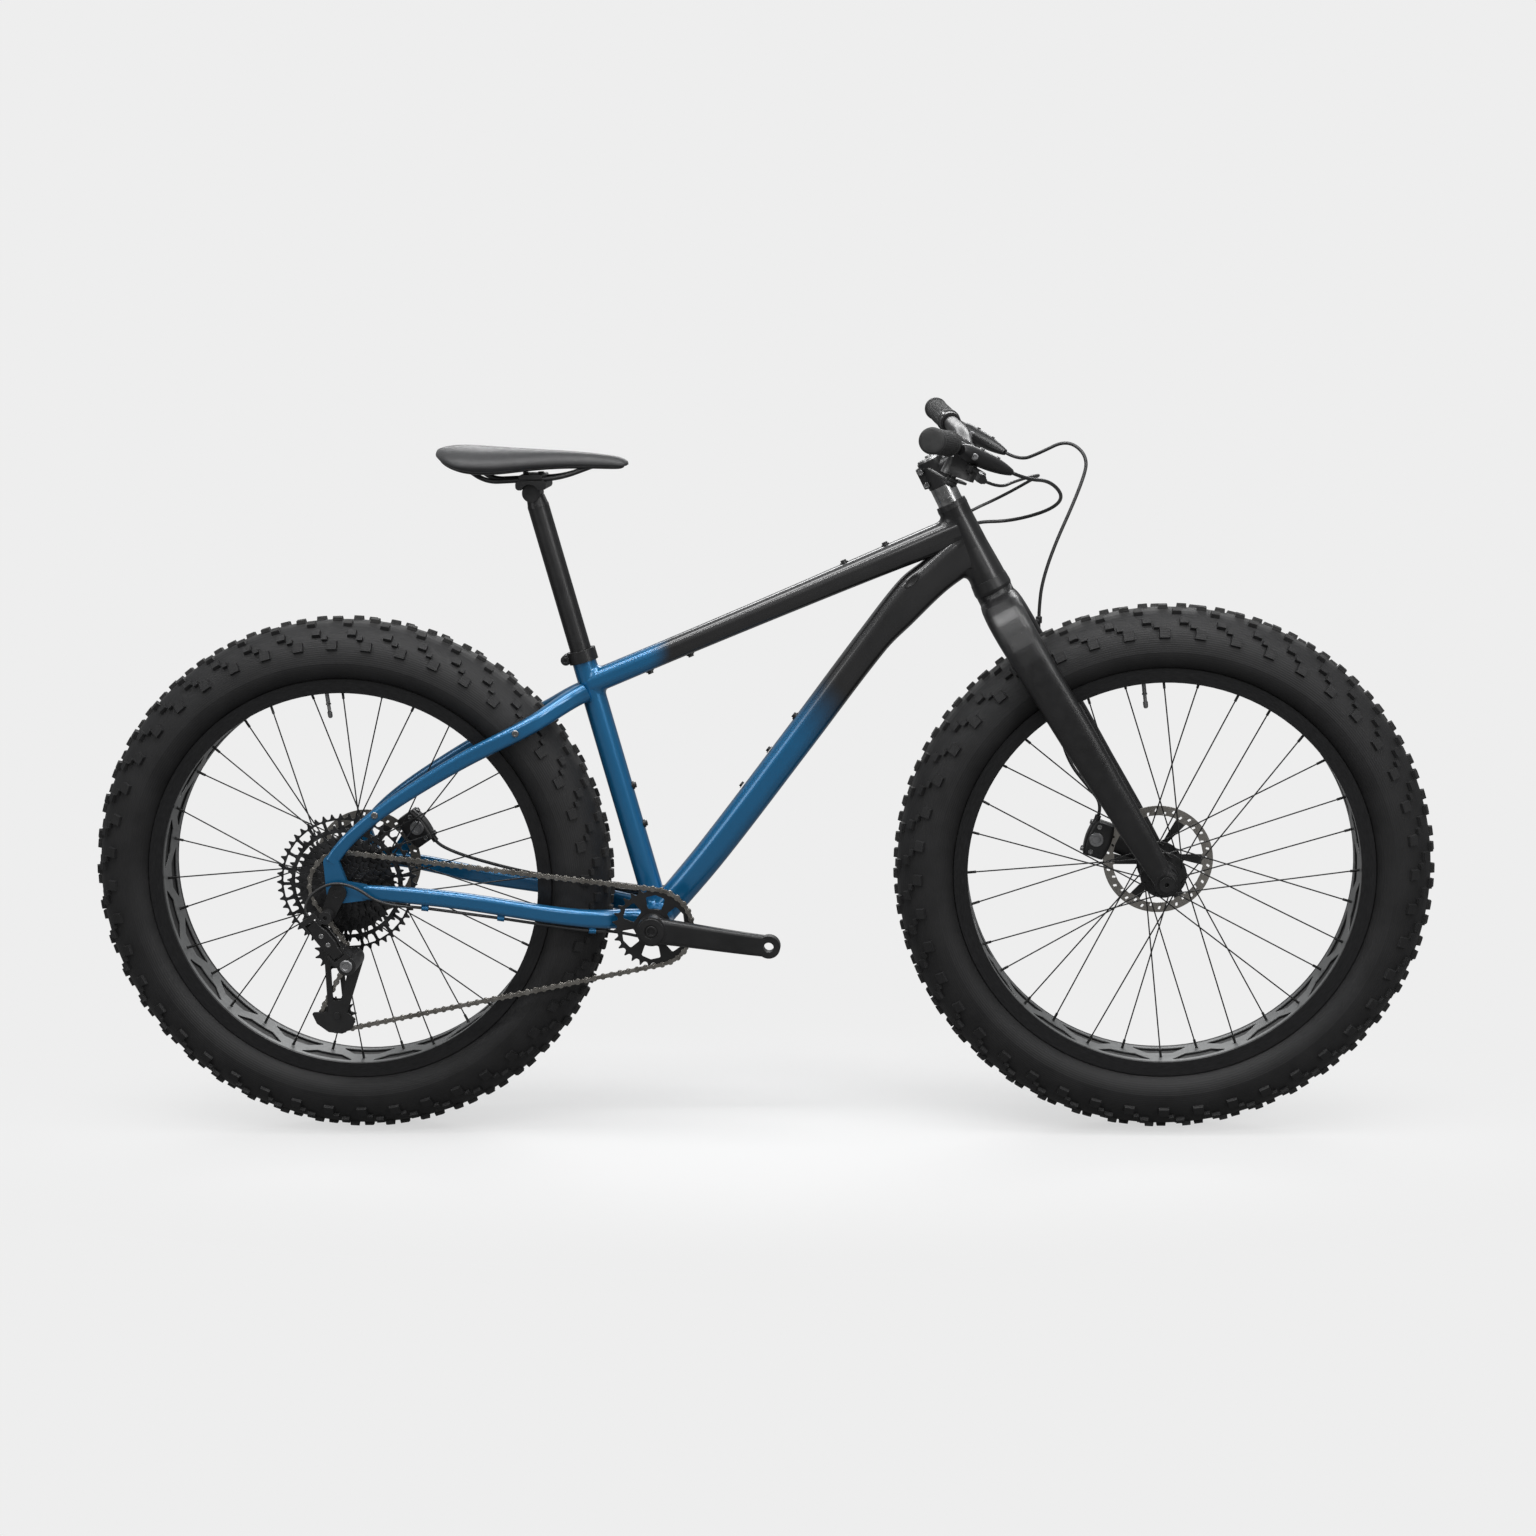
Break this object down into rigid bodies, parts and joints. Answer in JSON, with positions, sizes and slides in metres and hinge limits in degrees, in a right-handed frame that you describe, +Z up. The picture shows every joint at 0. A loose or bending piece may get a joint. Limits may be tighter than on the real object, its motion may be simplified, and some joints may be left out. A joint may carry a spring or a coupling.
{
  "type": "fat tire bike",
  "caption": "Rigid fat tire mountain bike with wide knobbly tires, diamond frame, chain drive with derailleur, disc brakes, riser bar and adjustable saddle; without pedals.",
  "frame": {"origin": "on the ground, midway between the two axles and between the bar ends", "axes": "+X forward, +Y to the rider's left, +Z up"},
  "size_m": [1.9518, 0.7648, 1.048],
  "materials": {
    "frame_black": "satin paint",
    "frame_blue": "gloss metallic paint",
    "frame_fade": "paint fading from gloss metallic blue to satin black",
    "fork_black": "satin paint",
    "anodised_black": "satin black anodised",
    "rim_grey": "satin grey anodised",
    "rim_tape": "matt",
    "tyre_rubber": "matt rubber",
    "spoke_black": "black drawn steel",
    "rotor_steel": "ground steel",
    "chain_steel": "dark plated steel",
    "cog_steel": "black coated steel",
    "bolt_steel": "black steel",
    "black_plastic": "moulded",
    "grip_rubber": "ribbed rubber",
    "saddle_cover": "matt synthetic cover over foam",
    "hose_black": "satin sheath"
  },
  "bodies": {
    "frame": {"head_tube": "frame_black", "top_tube": "frame_fade", "down_tube": "frame_fade", "seat_tube": "frame_blue", "bottom_bracket_shell": "frame_blue", "chainstays": "frame_blue", "seatstays": "frame_blue", "bearing_cups": "anodised_black", "frame_bolts": "bolt_steel", "seat_clamp": "anodised_black", "derailleur_hanger": "anodised_black", "derailleur_b_knuckle": "black_plastic", "rear_axle": "anodised_black", "rear_caliper": "anodised_black", "chain": "chain_steel", "rear_hose_loop": "hose_black", "shift_cable_loop": "hose_black", "rear_brake_hose": "hose_black", "rear_shift_housing": "hose_black"},
    "steering": {"fork": "fork_black", "stem": "anodised_black", "stem_faceplate": "anodised_black", "stem_hardware": "anodised_black", "handlebar": "anodised_black", "grips": "grip_rubber", "brake_masters": "anodised_black", "shifter_body": "black_plastic", "front_caliper": "anodised_black", "front_axle": "anodised_black", "front_brake_hose": "hose_black"},
    "front_wheel": {"front_tyre": "tyre_rubber", "front_rim": "rim_grey", "front_rim_strip": "rim_tape", "front_spokes": "spoke_black", "front_hub": "anodised_black", "front_rotor": "rotor_steel"},
    "rear_wheel": {"rear_tyre": "tyre_rubber", "rear_rim": "rim_grey", "rear_rim_strip": "rim_tape", "rear_spokes": "spoke_black", "rear_hub": "anodised_black", "rear_rotor": "rotor_steel"},
    "cassette": {"cassette": "cog_steel"},
    "crank": {"crank_right": "anodised_black", "crank_left": "anodised_black", "chainring": "cog_steel"},
    "outer_link": {"derailleur_outer_link": "anodised_black"},
    "inner_link": {"derailleur_inner_link": "anodised_black"},
    "p_knuckle": {"derailleur_p_knuckle": "black_plastic"},
    "cage": {"derailleur_cage": "anodised_black"},
    "upper_pulley": {"pulley_upper": "black_plastic"},
    "lower_pulley": {"pulley_lower": "black_plastic"},
    "left_lever": {"brake_lever_left": "anodised_black"},
    "right_lever": {"brake_lever_right": "anodised_black"},
    "thumb_paddle": {"shift_paddle": "black_plastic"},
    "release_lever": {"release_lever": "black_plastic"},
    "seatpost": {"seatpost": "anodised_black"},
    "saddle": {"saddle": "saddle_cover", "saddle_rails": "bolt_steel", "saddle_clamp": "anodised_black"}
  },
  "joints": [
    {"name": "steering", "type": "hinge", "parent": "frame", "child": "steering", "pos_m": [0.3442, 0, 0.81074], "axis": [-0.4305, 0, 0.9026], "range_deg": [-45, 45], "deforming": ["rear_hose_loop", "shift_cable_loop"]},
    {"name": "front_wheel_spin", "type": "hinge", "parent": "steering", "child": "front_wheel", "pos_m": [0.59, 0, 0.386], "axis": [0, 1, 0], "continuous": true},
    {"name": "rear_wheel_spin", "type": "hinge", "parent": "frame", "child": "rear_wheel", "pos_m": [-0.59, 0, 0.386], "axis": [0, 1, 0], "continuous": true},
    {"name": "crank_spin", "type": "hinge", "parent": "frame", "child": "crank", "pos_m": [-0.14104, 0, 0.322], "axis": [0, 1, 0], "continuous": true, "deforming": ["chain"]},
    {"name": "cassette_spin", "type": "hinge", "parent": "frame", "child": "cassette", "pos_m": [-0.59, 0, 0.386], "axis": [0, 1, 0], "continuous": true},
    {"name": "derailleur_shift", "type": "hinge", "parent": "frame", "child": "outer_link", "pos_m": [-0.6224, -0.13, 0.3422], "axis": [0.8, 0, 0.6], "range_deg": [-25.4, 8.2]},
    {"name": "inner_link_pivot", "type": "hinge", "parent": "frame", "child": "inner_link", "pos_m": [-0.6224, -0.116, 0.3422], "axis": [0.8, 0, 0.6], "range_deg": [-25.9, 8.7]},
    {"name": "p_knuckle_pivot", "type": "hinge", "parent": "outer_link", "child": "p_knuckle", "pos_m": [-0.5912, -0.13, 0.3006], "axis": [0.8, 0, 0.6], "range_deg": [-8.7, 25.9]},
    {"name": "cage_swing", "type": "hinge", "parent": "p_knuckle", "child": "cage", "pos_m": [-0.578, -0.07062, 0.283], "axis": [0, -1, 0], "range_deg": [0, 40], "stiffness_Nm_per_rad": 0.8, "springref_deg": -34.38},
    {"name": "upper_pulley_spin", "type": "hinge", "parent": "cage", "child": "upper_pulley", "pos_m": [-0.61207, -0.07062, 0.28639], "axis": [0, 1, 0], "continuous": true},
    {"name": "lower_pulley_spin", "type": "hinge", "parent": "cage", "child": "lower_pulley", "pos_m": [-0.61038, -0.07062, 0.1924], "axis": [0, 1, 0], "continuous": true},
    {"name": "left_brake_lever", "type": "hinge", "parent": "steering", "child": "left_lever", "pos_m": [0.32096, 0.228, 0.98415], "axis": [0.4695, 0, 0.8829], "range_deg": [0, 18], "stiffness_Nm_per_rad": 1.5, "springref_deg": -11.46},
    {"name": "right_brake_lever", "type": "hinge", "parent": "steering", "child": "right_lever", "pos_m": [0.32096, -0.228, 0.98415], "axis": [-0.4695, 0, -0.8829], "range_deg": [0, 18], "stiffness_Nm_per_rad": 1.5, "springref_deg": -11.46},
    {"name": "thumb_paddle", "type": "hinge", "parent": "steering", "child": "thumb_paddle", "pos_m": [0.29696, -0.2, 0.96949], "axis": [-0.4695, 0, -0.8829], "range_deg": [0, 25], "stiffness_Nm_per_rad": 0.5, "springref_deg": -11.46},
    {"name": "release_lever", "type": "hinge", "parent": "steering", "child": "release_lever", "pos_m": [0.29696, -0.2, 0.96949], "axis": [0.4695, 0, 0.8829], "range_deg": [0, 12], "stiffness_Nm_per_rad": 0.5, "springref_deg": -11.46},
    {"name": "seatpost_height", "type": "slide", "parent": "frame", "child": "seatpost", "axis": [-0.2453, 0, 0.9694], "range_m": [-0.2, 0.03]},
    {"name": "saddle_tilt", "type": "hinge", "parent": "seatpost", "child": "saddle", "pos_m": [-0.30049, 0, 0.94414], "axis": [0, 1, 0], "range_deg": [-8, 8]}
  ],
  "couplings": [
    {"joint": "cassette_spin", "follows": "crank_spin", "ratio": 1.12},
    {"joint": "upper_pulley_spin", "follows": "crank_spin", "ratio": -2.3333},
    {"joint": "lower_pulley_spin", "follows": "crank_spin", "ratio": 2.3333},
    {"joint": "inner_link_pivot", "follows": "derailleur_shift", "ratio": 1},
    {"joint": "p_knuckle_pivot", "follows": "derailleur_shift", "ratio": -1}
  ]
}
